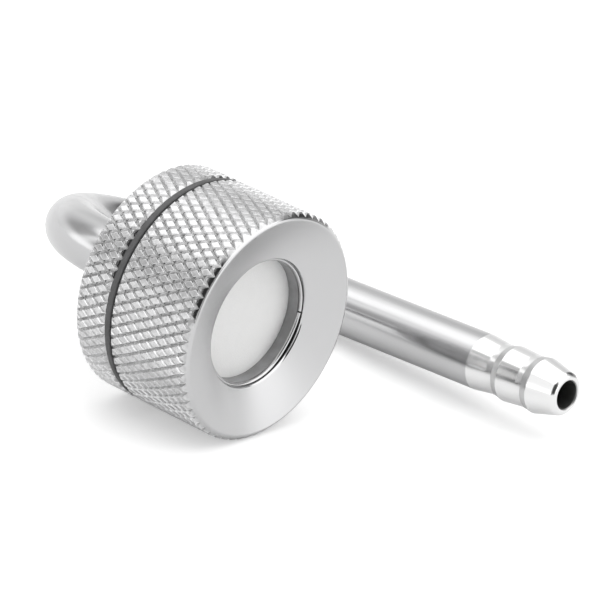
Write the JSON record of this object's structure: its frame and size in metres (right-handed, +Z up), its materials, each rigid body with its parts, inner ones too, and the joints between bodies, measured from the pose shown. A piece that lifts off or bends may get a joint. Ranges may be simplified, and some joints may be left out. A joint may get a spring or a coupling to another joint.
{
  "type": "gas diffuser",
  "caption": "Knurled two-piece head with a white porous disc behind a dished bezel, on a U-bent tube that ends in a hose barb.",
  "frame": {"origin": "middle of the assembly's footprint, on the surface that it lies on", "axes": "-Y along the head's axis out of the disc, +X from the head towards the stem's free leg, +Z up"},
  "size_m": [0.0426, 0.0569, 0.024],
  "materials": {
    "head_steel": "turned and polished, crossed knurl",
    "tube_steel": "polished tube, fine turning marks on the barb",
    "spring_steel": "bright drawn wire",
    "braze_silver": "smooth satin fillet",
    "white_ceramic": "fine matte sintered surface",
    "black_rubber": "satin",
    "grey_rubber": "satin"
  },
  "bodies": {
    "base": {"base": "head_steel", "stem": "tube_steel", "braze_ring": "braze_silver", "body_gasket": "black_rubber"},
    "disc_pack": {"diffuser_disc": "white_ceramic", "disc_gasket": "grey_rubber", "disc_o_ring": "black_rubber"},
    "cap": {"cap": "head_steel", "retaining_ring": "spring_steel"}
  },
  "joints": [
    {"name": "cap_lift", "type": "slide", "parent": "base", "child": "disc_pack", "axis": [0, -1, 0], "range_m": [0, 0.0025]},
    {"name": "cap_turn", "type": "hinge", "parent": "disc_pack", "child": "cap", "pos_m": [-0.00928, 0, 0.012], "axis": [0, -1, 0], "range_deg": [0, 900]}
  ],
  "couplings": [
    {"joint": "cap_lift", "follows": "cap_turn", "m_per_rad": 0.00015915}
  ]
}
